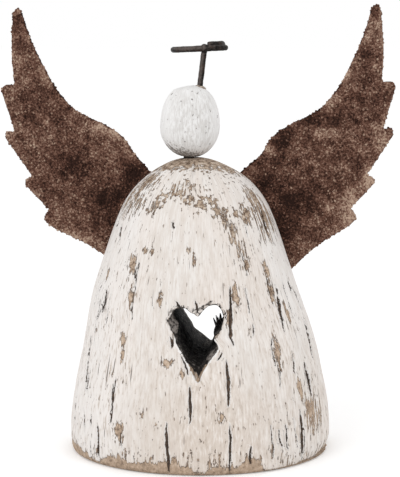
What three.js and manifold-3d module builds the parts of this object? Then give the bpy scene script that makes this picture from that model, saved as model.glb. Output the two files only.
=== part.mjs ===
// Wooden angel figurine, in millimetres with +Z up. The origin is the middle of the base and the front faces -Y.
// A turned and hand-carved wooden body has a heart cut right through it from front to back. An egg-shaped head
// stands on a dowel in the crown, a wire halo is pushed into the head, and two sheet-steel wings sit in slots
// that a saw disc cut in the shoulders.
import * as THREE from "three";
import { mergeVertices } from "three/addons/utils/BufferGeometryUtils.js";
import Module from "manifold-3d";

const wasm = await Module();
wasm.setup();

// Body
const BODY_HEIGHT = 146;
const CROWN_RADIUS = 40.7; // the domed top is part of a ball
const CROWN_SWEEP = 65.7; // degrees from the top of the dome down to the flank
const SHOULDER_EASE = 25; // how far the dome's own slope leads into the flank
const FOOT_RADIUS = 65.5; // the widest place, just above the base
const FOOT_HEIGHT = 12;
const FOOT_EASE = 25; // how far the upright foot leads back up into the flank
const BASE_EDGE_RADIUS = 3;
const LEAN = -2.3; // the carved top stands this far to the left of the base
const LEAN_FROM = 48; // heights between which the body leans over
const LEAN_TO = 88;

// Heart, cut straight through from front to back
const HEART_WIDTH = 26;
const HEART_HEIGHT = 35.5;
const HEART_TIP_X = 2.6;
const HEART_TIP_HEIGHT = 45.5;

// Neck and head
const NECK_OFFSET = -3.2; // from the middle of the crown to the neck
const NECK_GAP = 1; // between the crown and the lowest point of the head
const DOWEL_DIAMETER = 5.5;
const DOWEL_IN_BODY = 14;
const DOWEL_IN_HEAD = 12;
const HEAD_DIAMETER = 30;
const HEAD_HEIGHT = 36.5;
const HEAD_WIDEST_AT = 15.5; // height of the widest place above the head's lowest point
const HEAD_TILT = 1.5; // degrees, to the right

// Halo
const WIRE_DIAMETER = 2.6;
const STEM_X = 4.6; // where the stem enters, from the head's own axis
const STEM_Y = -1;
const STEM_LENGTH = 18.7; // from the head to the middle of the ring's wire
const STEM_IN_HEAD = 10;
const STEM_TILT = 6.8; // degrees, to the right
const RING_DIAMETER = 29.5; // outside
const RING_OFFSET = -2.9; // sideways, from the stem to the middle of the ring
const RING_ROLL = 2.5; // degrees by which the right side stands higher
const RING_START = 75; // degrees from the front, towards the right, where the lower end of the wire lies
const RING_LAP = 50; // degrees by which the upper end lies over the lower one
const RING_CLIMB = 65; // degrees of turn in which the wire climbs on to itself
const LAP_GAP = 0.45; // between the two ends, where one lies on the other
const LAP_ANGLE = 40; // degrees above level at which the upper end lies, on the inside of the lower one
const WELD_COVER = 0.9; // thickness of the bead of weld round the wire, where the ring sits on the stem

// Wings
const SHEET = 1.6;
const WING_PLANE = 8; // distance behind the body's axis
const WING_REACH = 66; // from the middle of the root to the outermost feather
const WING_RISE = 103.4; // from the middle of the root to the tip
const CUTTER_RADIUS = 50; // saw disc that cut the slots

// Each wing is set by hand: how far below the crown its root starts and ends, and how far out and up it stands.
const LEFT_ROOT_TOP = 7.5;
const LEFT_ROOT_BOTTOM = 50.5;
const LEFT_OUT = 0.4;
const LEFT_UP = 1.5;
const RIGHT_ROOT_TOP = 7;
const RIGHT_ROOT_BOTTOM = 56.5;
const RIGHT_OUT = 1.8;
const RIGHT_UP = 4;
const RIGHT_TURN = 2.2; // degrees by which the right wing is set steeper than the left one

// Fits
const GLUE_GAP = 0.3; // clearance all round a dowel, a stem or a wing root
const KERF = SHEET + 2 * GLUE_GAP;

const BODY_SIDES = 72;
const HEAD_SIDES = 36;
const ROUND_SIDES = 20; // dowel and its bores
const WIRE_SIDES = 10;
const CUTTER_SIDES = 96;

const radians = THREE.MathUtils.degToRad;
const point = (x, y) => new THREE.Vector2(x, y);

// A closed geometry as a solid that can be cut and joined.
function solidOf(geometry) {
  const bare = geometry.clone();
  bare.deleteAttribute("normal");
  bare.deleteAttribute("uv");
  const merged = mergeVertices(bare, 1e-4);
  return new wasm.Manifold(
    new wasm.Mesh({
      numProp: 3,
      vertProperties: merged.attributes.position.array,
      triVerts: new Uint32Array(merged.index.array),
    }),
  );
}

function geometryOf(solid) {
  const mesh = solid.getMesh();
  const geometry = new THREE.BufferGeometry();
  geometry.setAttribute("position", new THREE.BufferAttribute(mesh.vertProperties, 3));
  geometry.setIndex(new THREE.BufferAttribute(mesh.triVerts, 1));
  geometry.computeVertexNormals();
  return geometry;
}

function piece(name, geometry, material) {
  const mesh = new THREE.Mesh(geometry, material);
  mesh.name = name;
  return mesh;
}

// An upright rod or bore from one height to another, standing on the Z axis.
function rod(radius, from, to, sides) {
  return new THREE.CylinderGeometry(radius, radius, to - from, sides)
    .rotateX(Math.PI / 2)
    .translate(0, 0, (from + to) / 2);
}

// A profile of (radius, height) points from the top down, spun round the Z axis.
function spun(outline, sides) {
  return new THREE.LatheGeometry(outline.toReversed(), sides).rotateX(Math.PI / 2);
}

// Body: dome, flank, foot and a rounded base edge, as one outline from the crown to the middle of the base
function bodyProfile() {
  const crown = new THREE.EllipseCurve(
    0,
    BODY_HEIGHT - CROWN_RADIUS,
    CROWN_RADIUS,
    CROWN_RADIUS,
    Math.PI / 2,
    Math.PI / 2 - radians(CROWN_SWEEP),
    true,
  );
  const shoulder = crown.getPoint(1);
  const flank = new THREE.CubicBezierCurve(
    shoulder,
    shoulder.clone().addScaledVector(crown.getTangent(1), SHOULDER_EASE),
    point(FOOT_RADIUS, FOOT_HEIGHT + FOOT_EASE),
    point(FOOT_RADIUS, FOOT_HEIGHT),
  );
  const edge = new THREE.EllipseCurve(
    FOOT_RADIUS - BASE_EDGE_RADIUS,
    BASE_EDGE_RADIUS,
    BASE_EDGE_RADIUS,
    BASE_EDGE_RADIUS,
    0,
    -Math.PI / 2,
    true,
  );
  const outline = [...crown.getPoints(12), ...flank.getPoints(16).slice(1), ...edge.getPoints(5), point(0, 0)];
  outline[0].x = 0;
  return outline;
}

const profile = bodyProfile();

// Radius of the turned body at a height.
function bodyRadius(height) {
  const below = profile.findIndex((p) => p.y <= height);
  const [upper, lower] = [profile[below - 1], profile[below]];
  return THREE.MathUtils.mapLinear(height, upper.y, lower.y, upper.x, lower.x);
}

const leanAt = (height) => LEAN * THREE.MathUtils.smoothstep(height, LEAN_FROM, LEAN_TO);

function leaningBody() {
  const geometry = spun(profile, BODY_SIDES);
  const place = geometry.attributes.position;
  for (let i = 0; i < place.count; i++) {
    place.setX(i, place.getX(i) + leanAt(place.getZ(i)));
  }
  return geometry;
}

// The heart's outline stands on its tip, and its hand-cut halves differ a little.
function heartShape() {
  const at = (across, up) => [across * HEART_WIDTH, up * HEART_HEIGHT];
  const tip = at(0, 0);
  const dip = at(-0.015, 0.845);
  const leftSide = at(-0.55, 0.79);
  const rightSide = at(0.45, 0.83);
  const heart = new THREE.Shape();
  heart.moveTo(...tip);
  heart.bezierCurveTo(...at(0.46, 0.59), ...at(0.46, 0.59), ...rightSide);
  heart.bezierCurveTo(...at(0.42, 1.08), ...at(0.08, 1.03), ...dip);
  heart.bezierCurveTo(...at(-0.17, 1.07), ...at(-0.57, 1.0), ...leftSide);
  heart.bezierCurveTo(...at(-0.52, 0.56), ...at(-0.19, 0.23), ...tip);
  return heart;
}

function heartCutter() {
  const length = 2 * (FOOT_RADIUS + BASE_EDGE_RADIUS);
  return new THREE.ExtrudeGeometry(heartShape(), { depth: length, bevelEnabled: false, curveSegments: 12 })
    .rotateX(Math.PI / 2)
    .translate(HEART_TIP_X, length / 2, HEART_TIP_HEIGHT);
}

const WINGS = [
  {
    name: "wing_left",
    side: -1,
    rootHigh: BODY_HEIGHT - LEFT_ROOT_TOP,
    rootLow: BODY_HEIGHT - LEFT_ROOT_BOTTOM,
    turn: 0,
    out: LEFT_OUT,
    up: LEFT_UP,
  },
  {
    name: "wing_right",
    side: 1,
    rootHigh: BODY_HEIGHT - RIGHT_ROOT_TOP,
    rootLow: BODY_HEIGHT - RIGHT_ROOT_BOTTOM,
    turn: RIGHT_TURN,
    out: RIGHT_OUT,
    up: RIGHT_UP,
  },
];

// A wing's seat, seen in the plane of the wing with x pointing away from the body's leaning axis: the saw disc
// touches the surface at the two ends of the root, and the outline of the blade starts from the middle between them.
function wingSeat({ rootLow, rootHigh }) {
  const surface = (height) => point(Math.sqrt(bodyRadius(height) ** 2 - WING_PLANE ** 2), height);
  const low = surface(rootLow);
  const high = surface(rootHigh);
  const root = high.clone().sub(low);
  const middle = low.clone().addScaledVector(root, 0.5);
  const outward = point(root.y, -root.x).normalize();
  const reach = Math.sqrt(CUTTER_RADIUS ** 2 - root.lengthSq() / 4);
  const cutter = middle.clone().addScaledVector(outward, reach);
  return { low, high, middle, cutter };
}

function slotCutter(wing) {
  const { middle, cutter } = wingSeat(wing);
  return new THREE.CylinderGeometry(CUTTER_RADIUS, CUTTER_RADIUS, KERF, CUTTER_SIDES).translate(
    leanAt(middle.y) + wing.side * cutter.x,
    WING_PLANE,
    cutter.y,
  );
}

const crownX = leanAt(BODY_HEIGHT);
const neckX = crownX + NECK_OFFSET;
const headFoot = BODY_HEIGHT + NECK_GAP;
const dowelRadius = DOWEL_DIAMETER / 2;

function bodyGeometry() {
  const neckBore = rod(
    dowelRadius + GLUE_GAP,
    BODY_HEIGHT - DOWEL_IN_BODY - GLUE_GAP,
    headFoot,
    ROUND_SIDES,
  ).translate(neckX, 0, 0);
  const cutters = [heartCutter(), neckBore, ...WINGS.map(slotCutter)];
  return geometryOf(cutters.reduce((body, cutter) => body.subtract(solidOf(cutter)), solidOf(leaningBody())));
}

// Head: an egg of two halves, the lower one round and the upper one a little square
function headProfile() {
  const LOWER_POWER = 2;
  const UPPER_POWER = 2.3;
  const steps = 22;
  const half = (power, from, span) => (angle) =>
    point(
      (HEAD_DIAMETER / 2) * Math.cos(angle) ** (2 / power),
      from + span * Math.sin(angle) ** (2 / power),
    );
  const angles = Array.from({ length: steps / 2 + 1 }, (_, i) => (i * Math.PI) / steps);
  const upper = angles.map(half(UPPER_POWER, HEAD_WIDEST_AT, HEAD_HEIGHT - HEAD_WIDEST_AT)).reverse();
  const lower = angles.map(half(LOWER_POWER, HEAD_WIDEST_AT, -HEAD_WIDEST_AT)).slice(1);
  const outline = [...upper, ...lower];
  outline[0].x = 0;
  outline[outline.length - 1].x = 0;
  return outline;
}

// Height of the head's surface above its lowest point, at a distance from its axis, on the upper half.
function headTopAt(distance) {
  const outline = headProfile();
  const beyond = outline.findIndex((p) => p.x >= distance);
  const [inner, outer] = [outline[beyond - 1], outline[beyond]];
  return THREE.MathUtils.mapLinear(distance, inner.x, outer.x, inner.y, outer.y);
}

const stemFoot = new THREE.Vector3(STEM_X, STEM_Y, headTopAt(Math.hypot(STEM_X, STEM_Y)));
const stemTiltInHead = radians(STEM_TILT - HEAD_TILT);
const wireRadius = WIRE_DIAMETER / 2;

function headGeometry() {
  const neckBore = rod(dowelRadius + GLUE_GAP, -NECK_GAP, DOWEL_IN_HEAD + GLUE_GAP, ROUND_SIDES).rotateY(
    -radians(HEAD_TILT),
  );
  const stemBore = rod(wireRadius + GLUE_GAP, -STEM_IN_HEAD - GLUE_GAP, STEM_LENGTH / 2, WIRE_SIDES)
    .rotateY(stemTiltInHead)
    .translate(...stemFoot);
  return geometryOf(
    solidOf(spun(headProfile(), HEAD_SIDES)).subtract(solidOf(neckBore)).subtract(solidOf(stemBore)),
  );
}

// Halo ring: the wire runs from its lower end past the stem at the front, round by the left, the back and the
// right, and climbs on to itself so that its upper end lies on the lower one.
class LappedRing extends THREE.Curve {
  getPoint(t, target = new THREE.Vector3()) {
    const turned = t * (360 + RING_LAP);
    const angle = radians(RING_START - turned);
    const aside = (WIRE_DIAMETER + LAP_GAP) * THREE.MathUtils.smoothstep(turned, 350 - RING_CLIMB, 350);
    const bend = (RING_DIAMETER - WIRE_DIAMETER) / 2;
    const radius = bend - aside * Math.cos(radians(LAP_ANGLE));
    const behind = Math.sqrt(bend ** 2 - RING_OFFSET ** 2);
    return target
      .set(
        RING_OFFSET + radius * Math.sin(angle),
        behind - radius * Math.cos(angle),
        aside * Math.sin(radians(LAP_ANGLE)),
      )
      .applyAxisAngle(new THREE.Vector3(0, 1, 0), -radians(STEM_TILT + RING_ROLL))
      .add(new THREE.Vector3(0, 0, STEM_LENGTH));
  }
}

function ringGeometry(radius) {
  const section = new THREE.Shape().absarc(0, 0, radius, 0, 2 * Math.PI);
  return new THREE.ExtrudeGeometry(section, {
    extrudePath: new LappedRing(),
    steps: 64,
    curveSegments: WIRE_SIDES,
  });
}

function stemGeometry() {
  const bead = new THREE.SphereGeometry(wireRadius + WELD_COVER, 16, 10).translate(0, 0, STEM_LENGTH);
  return geometryOf(
    solidOf(rod(wireRadius, -STEM_IN_HEAD, STEM_LENGTH, WIRE_SIDES))
      .add(solidOf(bead))
      .subtract(solidOf(ringGeometry(wireRadius + GLUE_GAP))),
  );
}

// Wings: one pattern for both. Places are shares of the wing's reach and rise, from the middle of its root.
const LEADING_EDGE = [
  [-0.051, 0.289],
  [0.015, 0.352],
  [0.094, 0.398],
  [0.199, 0.436],
  [0.331, 0.474],
  [0.437, 0.515],
  [0.555, 0.599],
  [0.64, 0.691],
  [0.744, 0.825],
  [0.815, 0.95],
];
const WING_TIP = { corner: [0.85, 1.03], end: [0.9, 0.97] };
const OUTER_QUILL = [0.93, 0.79];
const FEATHERS = [
  { gap: [0.893, 0.62], corner: [0.985, 0.64], end: [1.0, 0.595] },
  { gap: [0.891, 0.388], corner: [0.967, 0.422], end: [0.971, 0.363] },
  { gap: [0.755, 0.168], corner: [0.807, 0.18], end: [0.822, 0.134] },
  { gap: [0.624, 0.007], corner: [0.657, 0.006], end: [0.674, -0.04] },
];
const TRAILING_CURVE = { first: [0.6, -0.105], second: [0.4, -0.115] };

function wingShape(wing) {
  const { low, high, middle, cutter } = wingSeat(wing);
  const local = (p) => p.clone().sub(middle);
  const onBlade = ([across, up]) =>
    point(across * WING_REACH, up * WING_RISE)
      .rotateAround(point(0, 0), radians(wing.turn))
      .add(point(wing.out, wing.up));
  const hub = local(cutter);
  const toLow = local(low).sub(hub);
  const toHigh = local(high).sub(hub);
  const shape = new THREE.Shape();
  // The root is an arc that fits the saw cut.
  shape.absarc(hub.x, hub.y, CUTTER_RADIUS - GLUE_GAP, toLow.angle(), toHigh.angle(), true);
  shape.splineThru(LEADING_EDGE.map(onBlade));
  shape.quadraticCurveTo(...onBlade(WING_TIP.corner), ...onBlade(WING_TIP.end));
  shape.quadraticCurveTo(...onBlade(OUTER_QUILL), ...onBlade(FEATHERS[0].gap));
  for (const { gap, corner, end } of FEATHERS) {
    shape.lineTo(...onBlade(gap));
    shape.quadraticCurveTo(...onBlade(corner), ...onBlade(end));
  }
  const rootEnd = hub.clone().add(toLow.setLength(CUTTER_RADIUS - GLUE_GAP));
  shape.bezierCurveTo(...onBlade(TRAILING_CURVE.first), ...onBlade(TRAILING_CURVE.second), ...rootEnd);
  return shape;
}

function wingGeometry(wing) {
  const outline = wingShape(wing)
    .getPoints(5)
    .map((p) => point(wing.side * p.x, p.y));
  return new THREE.ExtrudeGeometry(new THREE.Shape(outline), { depth: SHEET, bevelEnabled: false })
    .rotateX(Math.PI / 2)
    .translate(0, SHEET / 2, 0);
}

const paintedWood = new THREE.MeshStandardMaterial({ color: 0xe6ddd3, roughness: 0.85, metalness: 0 });
const headPaint = new THREE.MeshStandardMaterial({ color: 0xe9e7e4, roughness: 0.8, metalness: 0 });
const stainedWood = new THREE.MeshStandardMaterial({ color: 0x4a3a2e, roughness: 0.9, metalness: 0 });
const rustedSheet = new THREE.MeshStandardMaterial({ color: 0x5a4037, roughness: 0.95, metalness: 0.2 });
const darkWire = new THREE.MeshStandardMaterial({ color: 0x43393a, roughness: 0.55, metalness: 0.7 });

const angel = new THREE.Group();
angel.add(piece("body", bodyGeometry(), paintedWood));

const dowel = rod(dowelRadius, BODY_HEIGHT - DOWEL_IN_BODY, headFoot + DOWEL_IN_HEAD, ROUND_SIDES);
const neckDowel = piece("neck_dowel", dowel, stainedWood);
neckDowel.position.set(neckX, 0, 0);
angel.add(neckDowel);

const headGroup = new THREE.Group();
headGroup.position.set(neckX, 0, headFoot);
headGroup.rotation.y = radians(HEAD_TILT);
headGroup.add(piece("head", headGeometry(), headPaint));
angel.add(headGroup);

const haloGroup = new THREE.Group();
haloGroup.position.copy(stemFoot);
haloGroup.rotation.y = stemTiltInHead;
haloGroup.add(piece("halo_stem", stemGeometry(), darkWire));
haloGroup.add(piece("halo_ring", ringGeometry(wireRadius), darkWire));
headGroup.add(haloGroup);

for (const wing of WINGS) {
  const { middle } = wingSeat(wing);
  const mesh = piece(wing.name, wingGeometry(wing), rustedSheet);
  mesh.position.set(leanAt(middle.y) + wing.side * middle.x, WING_PLANE, middle.y);
  angel.add(mesh);
}

export default angel;
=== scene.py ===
# %% [markdown]
# A wooden angel with rusted wings
# The figurine is one turned block of wood with a heart sawn through it, a small painted head on a
# dowel, two wings cut from rusted sheet iron and a halo bent from wire. The solids of these pieces
# are already at their real size and place, so this lesson only gives them their skins: worn paint,
# split wood, scorched saw cuts and rust. Blender works in metres, while the numbers here are millimetres.

# %% Load the solids
import math
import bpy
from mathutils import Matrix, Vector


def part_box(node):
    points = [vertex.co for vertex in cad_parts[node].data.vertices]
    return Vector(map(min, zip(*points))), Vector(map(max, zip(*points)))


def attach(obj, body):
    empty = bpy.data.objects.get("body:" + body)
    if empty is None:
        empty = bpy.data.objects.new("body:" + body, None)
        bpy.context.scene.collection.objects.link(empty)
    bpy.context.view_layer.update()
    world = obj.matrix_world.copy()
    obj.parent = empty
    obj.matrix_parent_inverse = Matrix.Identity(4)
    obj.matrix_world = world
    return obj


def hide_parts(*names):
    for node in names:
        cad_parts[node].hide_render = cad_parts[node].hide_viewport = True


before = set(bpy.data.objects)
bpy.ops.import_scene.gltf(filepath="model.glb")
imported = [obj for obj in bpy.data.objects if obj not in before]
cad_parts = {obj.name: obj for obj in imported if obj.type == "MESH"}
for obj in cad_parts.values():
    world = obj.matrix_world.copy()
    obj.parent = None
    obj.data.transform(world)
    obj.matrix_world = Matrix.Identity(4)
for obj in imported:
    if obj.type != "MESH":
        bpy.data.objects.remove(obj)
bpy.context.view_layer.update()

from types import SimpleNamespace

import bmesh
import bpy
import numpy as np
from mathutils import Vector, kdtree, noise

MM = 0.001
print("solids:", sorted(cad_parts))

# %% [markdown]
# The camera
# The picture was taken from the front, a little to the right and from a little above, through a long
# lens, so that the base hardly shows its curve. A long lens is copied with a narrow field of view and a
# camera that stands well back.

# %% Stand the camera
CAMERA_DISTANCE = 900
CAMERA_TURN = 3.3
CAMERA_HEIGHT = 210
AIM_HEIGHT = 106.2
LENS = 162
SENSOR_WIDTH = 36


def stand_camera():
    """The camera, turned a little to the right of the front and aimed at the middle of the figure."""
    turn = math.radians(CAMERA_TURN)
    eye = Vector((math.sin(turn) * CAMERA_DISTANCE, -math.cos(turn) * CAMERA_DISTANCE, CAMERA_HEIGHT))
    aim = Vector((0, 0, AIM_HEIGHT))
    data = bpy.data.cameras.new("front_camera")
    data.lens = LENS
    data.sensor_fit = "HORIZONTAL"
    data.sensor_width = SENSOR_WIDTH
    camera = bpy.data.objects.new("front_camera", data)
    camera.location = eye * MM
    camera.rotation_euler = (aim - eye).to_track_quat("-Z", "Y").to_euler()
    bpy.context.scene.collection.objects.link(camera)
    bpy.context.scene.camera = camera
    return camera


front_camera = stand_camera()
print("camera at", [round(v, 3) for v in front_camera.location])

# %% [markdown]
# Shader sums as plain Python
# A material is a web of small nodes, and wiring each by hand hides the idea. Here a Signal stands for one
# output in a material: adding or multiplying Signals adds the Math nodes, and Recipe.node adds any other
# node from its type, its settings and what goes into its sockets.

# %% One value in a material
class Signal:
    """One value in a material. Arithmetic on it adds Math nodes."""

    def __init__(self, recipe, socket):
        self.recipe = recipe
        self.socket = socket

    def math(self, operation, first, second):
        """One Math node."""
        return self.recipe.node("ShaderNodeMath", {"operation": operation}, {0: first, 1: second})

    def __add__(self, other):
        return self.math("ADD", self, other)

    __radd__ = __add__

    def __sub__(self, other):
        return self.math("SUBTRACT", self, other)

    def __rsub__(self, other):
        return self.math("SUBTRACT", other, self)

    def __mul__(self, other):
        return self.math("MULTIPLY", self, other)

    __rmul__ = __mul__

    def __abs__(self):
        return self.math("ABSOLUTE", self, 0.0)

    def swing(self, amount):
        """A noise around 0.5, turned into a swing about 0 that is the amount times as wide."""
        return (self - 0.5) * amount


# %% A material while it is written
class Recipe:
    """A material, or the world, while it is written: its helpers add nodes and hand back Signals."""

    def __init__(self, name, world=False):
        self.owner = (bpy.data.worlds if world else bpy.data.materials).new(name)
        self.owner.use_nodes = True
        self.tree = self.owner.node_tree
        self.tree.nodes.clear()

    def node(self, kind, settings, sockets, output=0):
        """Any node: its settings come first, then the values or links of its sockets."""
        made = self.tree.nodes.new(kind)
        for name, value in settings.items():
            if name == "stops":
                self.set_stops(made.color_ramp, value)
            else:
                setattr(made, name, value)
        for key, value in sockets.items():
            if isinstance(value, Signal):
                self.tree.links.new(value.socket, made.inputs[key])
            else:
                made.inputs[key].default_value = value
        return Signal(self, made.outputs[output])

    def set_stops(self, ramp, stops):
        """A colour ramp's stops, each a place and a colour."""
        while len(ramp.elements) < len(stops):
            ramp.elements.new(1.0)
        for element, (place, colour) in zip(ramp.elements, stops):
            element.position = place
            element.color = (*colour, 1.0)

    def attribute(self, name, output="Fac"):
        """What the points keep under a name."""
        return self.node("ShaderNodeAttribute", {"attribute_name": name}, {}, output)

    def object_millimetres(self):
        """The place on the object, counted in millimetres."""
        place = self.node("ShaderNodeTexCoord", {}, {}, "Object")
        return self.stretched(place, (1 / MM, 1 / MM, 1 / MM))

    def stretched(self, vector, scale):
        """A place times a scale, which draws noise out along each axis where the scale is below 1."""
        return self.node("ShaderNodeVectorMath", {"operation": "MULTIPLY"}, {0: vector, 1: scale})

    def grain(self, vector, scale, detail=2.0, roughness=0.5):
        """Soft noise around 0.5, with lumps about 1 / scale across."""
        sockets = {"Vector": vector, "Scale": scale, "Detail": detail, "Roughness": roughness}
        return self.node("ShaderNodeTexNoise", {}, sockets)

    def step(self, value, low, high):
        """A smooth step from 0 at low to 1 at high."""
        sockets = {"Value": value, "From Min": low, "From Max": high}
        return self.node("ShaderNodeMapRange", {"interpolation_type": "SMOOTHSTEP"}, sockets)

    def ramp(self, value, stops):
        """A colour picked from a row of stops."""
        return self.node("ShaderNodeValToRGB", {"stops": stops}, {"Fac": value})

    def mix(self, factor, first, second):
        """A colour that goes from first to second."""
        pair = [c if isinstance(c, Signal) else (*c, 1.0) for c in (first, second)]
        return self.node("ShaderNodeMix", {"data_type": "RGBA"}, {0: factor, 6: pair[0], 7: pair[1]}, 2)

    def layered(self, colour, layers):
        """A colour with others laid over it in turn, each by its own mask."""
        for mask, over in layers:
            colour = self.mix(mask, colour, over)
        return colour

    def finish(self, colour, roughness, height, **constants):
        """The surface: a Principled shader with a bump whose height is in millimetres."""
        relief = {"Strength": 1.0, "Distance": MM, "Height": height}
        bump = self.node("ShaderNodeBump", {}, relief, "Normal")
        sockets = {"Base Color": colour, "Roughness": roughness, "Normal": bump}
        for name, value in constants.items():
            sockets[name.replace("_", " ")] = value
        surface = self.node("ShaderNodeBsdfPrincipled", {}, sockets)
        return self.end_with(surface, "ShaderNodeOutputMaterial")

    def end_with(self, surface, output_kind):
        """Joins what was made to the output, and hands back the material or the world."""
        output = self.tree.nodes.new(output_kind)
        self.tree.links.new(surface.socket, output.inputs["Surface"])
        return self.owner


# %% Colours as they look on a screen
def tint(red, green, blue):
    """A screen colour, 0 to 255 each, as the linear colour that a shader takes."""
    shares = [v / 255 for v in (red, green, blue)]
    return tuple(s / 12.92 if s <= 0.04045 else ((s + 0.055) / 1.055) ** 2.4 for s in shares)


print("paint in linear light:", [round(v, 3) for v in tint(236, 229, 223)])

# %% [markdown]
# From solid to skin
# The solids are made of few flat facets, which is right for sizes but too plain to look at. A voxel
# remesh wraps a copy of a solid in an even net of small quads. Those can be pushed about point by point,
# and each point can carry numbers, such as how worn it is, for the material to read.

# %% Pieces, their points and what the points keep
def new_piece(name, mesh):
    """An object for a mesh, put into the scene."""
    piece = bpy.data.objects.new(name, mesh)
    bpy.context.scene.collection.objects.link(piece)
    return piece


def coat(piece, material):
    """Gives a piece its one finish."""
    piece.data.materials.clear()
    piece.data.materials.append(material)


def keep_result(piece):
    """Turns what the modifiers give into the piece's own plain mesh."""
    graph = bpy.context.evaluated_depsgraph_get()
    result = bpy.data.meshes.new_from_object(piece.evaluated_get(graph))
    piece.modifiers.clear()
    piece.data = result
    return piece


def spots_of(piece):
    """Every point of a piece, in millimetres."""
    flat = np.empty(len(piece.data.vertices) * 3, np.float32)
    piece.data.vertices.foreach_get("co", flat)
    return flat.reshape(-1, 3).astype(float) / MM


def put_spots(piece, spots):
    """Moves every point of a piece to its new place, given in millimetres."""
    piece.data.vertices.foreach_set("co", (spots * MM).astype(np.float32).ravel())
    piece.data.update()


def normals_of(piece):
    """The direction that each point of a piece faces."""
    flat = np.empty(len(piece.data.vertices) * 3, np.float32)
    piece.data.vertex_normals.foreach_get("vector", flat)
    return flat.reshape(-1, 3).astype(float)


def store(piece, name, values):
    """Keeps one number, or one vector, for each point, where the material can read it."""
    values = np.asarray(values, np.float32)
    kind, field = ("FLOAT", "value") if values.ndim == 1 else ("FLOAT_VECTOR", "vector")
    layer = piece.data.attributes.new(name, kind, "POINT")
    layer.data.foreach_set(field, values.ravel())


# %% Noise, steps and hills
SEED_SHIFT = Vector((17.3, 5.1, 11.7))


def lumps(spots, size, seed):
    """Smooth noise between about -1 and 1 at each spot, with lumps about size across."""
    shift = SEED_SHIFT * seed
    return np.array([noise.noise(Vector(s) / size + shift) for s in spots])


def smooth_step(values, low, high):
    """Rises smoothly from 0 at low to 1 at high, or falls if low is the larger."""
    share = np.clip((values - low) / (high - low), 0, 1)
    return share * share * (3 - 2 * share)


def hill(values, middle, spread):
    """A smooth hill, 1 at its middle."""
    return np.exp(-(((values - middle) / spread) ** 2))


def tree_of(spots, chosen):
    """A search tree that finds the nearest of the chosen spots."""
    tree = kdtree.KDTree(len(chosen))
    for number in chosen:
        tree.insert(Vector(spots[number]), int(number))
    tree.balance()
    return tree


print("half way up a smooth step:", smooth_step(0.5, 0, 1))

# %% Copy a solid into a fine, even skin
MERGE_DISTANCE = 1e-6


def fine_copy(node, name, voxel, squeeze=1.0, rounds=2):
    """A closed copy of a solid in small even quads, taller than wide with squeeze below 1."""
    copy = bmesh.new()
    copy.from_mesh(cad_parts[node].data)
    bmesh.ops.remove_doubles(copy, verts=copy.verts, dist=MERGE_DISTANCE)
    bmesh.ops.scale(copy, vec=(1, 1, squeeze), verts=copy.verts)
    mesh = bpy.data.meshes.new(name)
    copy.to_mesh(mesh)
    copy.free()
    piece = new_piece(name, mesh)
    remesh = piece.modifiers.new("even_skin", "REMESH")
    remesh.mode = "VOXEL"
    remesh.voxel_size = voxel * MM
    smooth = piece.modifiers.new("soft_corners", "SMOOTH")
    smooth.iterations = rounds
    keep_result(piece)
    put_spots(piece, spots_of(piece) / (1, 1, squeeze))
    piece.data.shade_smooth()
    return piece


body = fine_copy("body", "painted_body", voxel=0.88, squeeze=0.6, rounds=3)
print("body skin:", len(body.data.vertices), "points,", len(body.data.polygons), "faces")

# %% [markdown]
# A round body
# The solid body was turned with flat facets, which would show as faint upright bands in the paint. Each
# point of the outer skin is moved out to the true radius at its height, and then in and out a little
# again, because a body carved by hand is never quite round. Points inside the heart and the wing slots
# stay where they are.

# %% Measure the body around its leaning axis
LEAN = -2.3
LEAN_FROM = 48
LEAN_TO = 88
RING_POINTS = 150
FOOT_HEIGHT = 12
SKIN_DEPTH = 0.45
UNDERSIDE = -0.7


def axis_x(heights):
    """The body's middle, which steps a little to the left below the shoulders."""
    return LEAN * smooth_step(heights, LEAN_FROM, LEAN_TO)


def around(spots):
    """Angle from the front towards the right, distance from the leaning axis, and height."""
    heights = spots[:, 2]
    across = spots[:, 0] - axis_x(heights)
    return np.degrees(np.arctan2(across, -spots[:, 1])), np.hypot(across, spots[:, 1]), heights


def turned_profile():
    """Heights and radii of the rings that the body's solid was turned with."""
    _, radii, heights = around(spots_of(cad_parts["body"]))
    levels, where, counts = np.unique(heights.round(2), return_inverse=True, return_counts=True)
    widest = np.array([radii[where == n].max() for n in range(len(levels))])
    narrower_above = np.maximum.accumulate(widest[::-1])[::-1]
    rings = (counts >= RING_POINTS) & ((widest >= narrower_above) | (levels < FOOT_HEIGHT))
    return levels[rings], widest[rings]


ring_heights, ring_radii = turned_profile()
angle, radius, height = around(spots_of(body))
true_radius = np.interp(height, ring_heights, ring_radii)
facing = normals_of(body)
inset = true_radius - radius
on_skin = (np.abs(inset) < SKIN_DEPTH) & (facing[:, 2] > UNDERSIDE)
print(len(ring_heights), "turned rings,", int(on_skin.sum()), "points on the outer skin")

# %% Round the skin and make it a little uneven
HAND_CARVED = ((30, 0.4), (9, 0.12))
WORN_CORNER_ANGLE = 74
WORN_CORNER_SPREAD = 22
WORN_CORNER_HEIGHT = 9
WORN_CORNER_DEPTH = 2.2
NECK_X = -5.5
NECK_RISE = 1.3
NECK_SPREAD = 24
NECK_FLAT = 4
CROWN_FACING = 0.3
TOP_FACING = 0.9


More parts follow.
